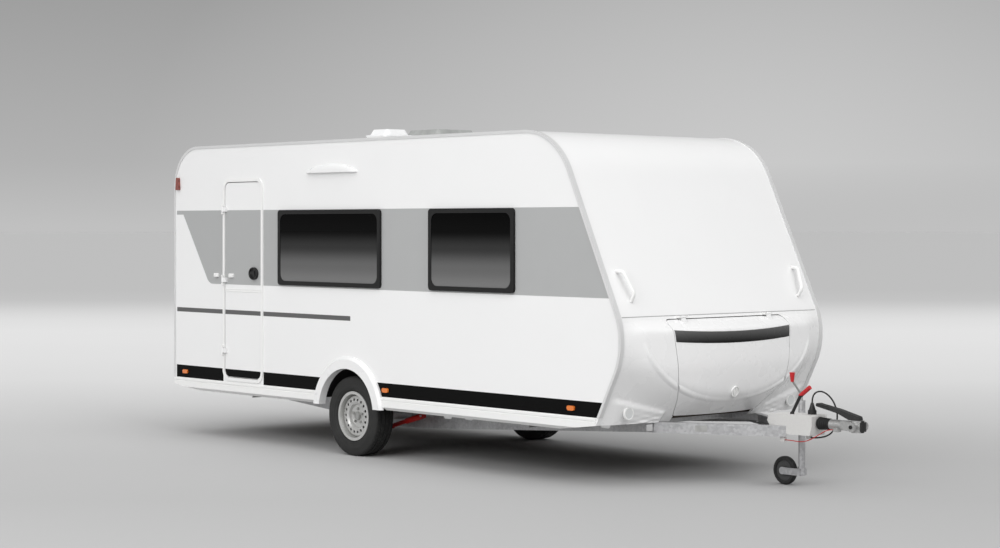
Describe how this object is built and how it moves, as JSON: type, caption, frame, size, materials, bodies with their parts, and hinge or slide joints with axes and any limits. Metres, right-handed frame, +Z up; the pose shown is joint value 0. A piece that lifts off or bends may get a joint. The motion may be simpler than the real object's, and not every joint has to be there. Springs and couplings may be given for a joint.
{
  "type": "travel caravan",
  "caption": "Single-axle travel caravan with entrance door, gas locker under a sloping front, drawbar with ball coupling, jockey wheel and corner steadies.",
  "frame": {"origin": "on the ground, under the middle of the whole length and width", "axes": "+X forward to the coupling, +Y to the vehicle's left, +Z up"},
  "size_m": [6.843, 2.192, 2.608],
  "materials": {
    "white_skin": "smooth white painted sheet",
    "white_moulding": "gloss white moulded plastic",
    "grey_rail": "anodised extruded rail",
    "floor_board": "coated plywood sandwich",
    "black_plastic": "grained black plastic",
    "smoked_acrylic": "dark tinted acrylic",
    "dome_acrylic": "milky acrylic",
    "amber_lens": "moulded lens",
    "red_lens": "moulded lens",
    "galvanised": "hot-dip galvanised steel",
    "rim_silver": "silver painted pressed steel",
    "tyre": "moulded rubber",
    "drum_iron": "black painted casting",
    "red_paint": "red paint",
    "coupling_silver": "silver painted steel",
    "black_rubber": "moulded rubber",
    "black_steel": "black powder coat",
    "zinc_steel": "zinc plated steel",
    "red_cable": "red coated wire"
  },
  "bodies": {
    "caravan_body": {"a_frame_beams": "galvanised", "awning_lamp": "white_moulding", "axle": "galvanised", "bellows": "black_rubber", "breakaway_cable": "red_cable", "chassis_rails": "galvanised", "coupling_head": "coupling_silver", "coupling_lever": "black_plastic", "cross_members": "galvanised", "door_frame": "white_moulding", "edge_rails": "grey_rail", "floor": "floor_board", "front_moulding": "white_moulding", "front_panel": "white_skin", "grab_handles": "white_moulding", "handbrake_lever": "black_steel", "hinges": "zinc_steel", "lead": "black_rubber", "locker_bulkhead": "floor_board", "marker_lamps": "amber_lens", "overrun_housing": "galvanised", "plug": "black_plastic", "rear_bumper": "white_moulding", "rear_lamps": "red_lens", "rear_panel": "white_skin", "roof": "white_skin", "rooflight_curbs": "white_moulding", "rooflight_domes": "dome_acrylic", "service_hatches": "white_moulding", "shock_absorbers": "red_paint", "skirts": "white_skin", "steady_brackets": "galvanised", "wall_left": "white_skin", "wall_right": "white_skin", "wheel_arch_trims": "white_moulding", "wheel_boxes": "black_plastic", "window_frames": "black_plastic", "window_panes": "smoked_acrylic"},
    "entrance_door": {"entrance_door": "white_skin", "door_lock": "black_plastic"},
    "locker_lid": {"locker_lid": "white_moulding"},
    "wheel_right": {"tyre_right": "tyre", "rim_right": "rim_silver", "drum_right": "drum_iron"},
    "wheel_left": {"tyre_left": "tyre", "rim_left": "rim_silver", "drum_left": "drum_iron"},
    "jockey_leg": {"jockey_tube": "zinc_steel", "jockey_crank": "zinc_steel"},
    "jockey_fork": {"jockey_fork": "zinc_steel"},
    "jockey_wheel": {"jockey_wheel": "black_rubber"},
    "steady_rear_right": {"steady_rear_right": "galvanised"},
    "steady_rear_left": {"steady_rear_left": "galvanised"},
    "steady_front_right": {"steady_front_right": "galvanised"},
    "steady_front_left": {"steady_front_left": "galvanised"}
  },
  "joints": [
    {"name": "wheel_right_spin", "type": "hinge", "parent": "caravan_body", "child": "wheel_right", "pos_m": [-0.8625, -0.94, 0.3145], "axis": [0, 1, 0], "continuous": true},
    {"name": "wheel_left_spin", "type": "hinge", "parent": "caravan_body", "child": "wheel_left", "pos_m": [-0.8625, 0.94, 0.3145], "axis": [0, 1, 0], "continuous": true},
    {"name": "door_hinge", "type": "hinge", "parent": "caravan_body", "child": "entrance_door", "pos_m": [-2.5995, -1.082, 1.36], "axis": [0, 0, -1], "range_deg": [0, 170]},
    {"name": "lid_hinge", "type": "hinge", "parent": "caravan_body", "child": "locker_lid", "pos_m": [2.17674, 0, 1.18], "axis": [0, -1, 0], "range_deg": [0, 50]},
    {"name": "jockey_slide", "type": "slide", "parent": "caravan_body", "child": "jockey_leg", "axis": [0, 0, 1], "range_m": [0, 0.1]},
    {"name": "jockey_swivel", "type": "hinge", "parent": "jockey_leg", "child": "jockey_fork", "pos_m": [2.7475, 0.15, 0.2], "axis": [0, 0, 1], "continuous": true},
    {"name": "jockey_wheel_spin", "type": "hinge", "parent": "jockey_fork", "child": "jockey_wheel", "pos_m": [2.5975, 0.15, 0.1], "axis": [0, 1, 0], "continuous": true},
    {"name": "steady_rear_right_swing", "type": "hinge", "parent": "caravan_body", "child": "steady_rear_right", "pos_m": [-2.9925, -0.8, 0.398], "axis": [0, 1, 0], "range_deg": [0, 42]},
    {"name": "steady_rear_left_swing", "type": "hinge", "parent": "caravan_body", "child": "steady_rear_left", "pos_m": [-2.9925, 0.8, 0.398], "axis": [0, 1, 0], "range_deg": [0, 42]},
    {"name": "steady_front_right_swing", "type": "hinge", "parent": "caravan_body", "child": "steady_front_right", "pos_m": [1.5175, -0.8, 0.398], "axis": [0, -1, 0], "range_deg": [0, 42]},
    {"name": "steady_front_left_swing", "type": "hinge", "parent": "caravan_body", "child": "steady_front_left", "pos_m": [1.5175, 0.8, 0.398], "axis": [0, -1, 0], "range_deg": [0, 42]}
  ]
}
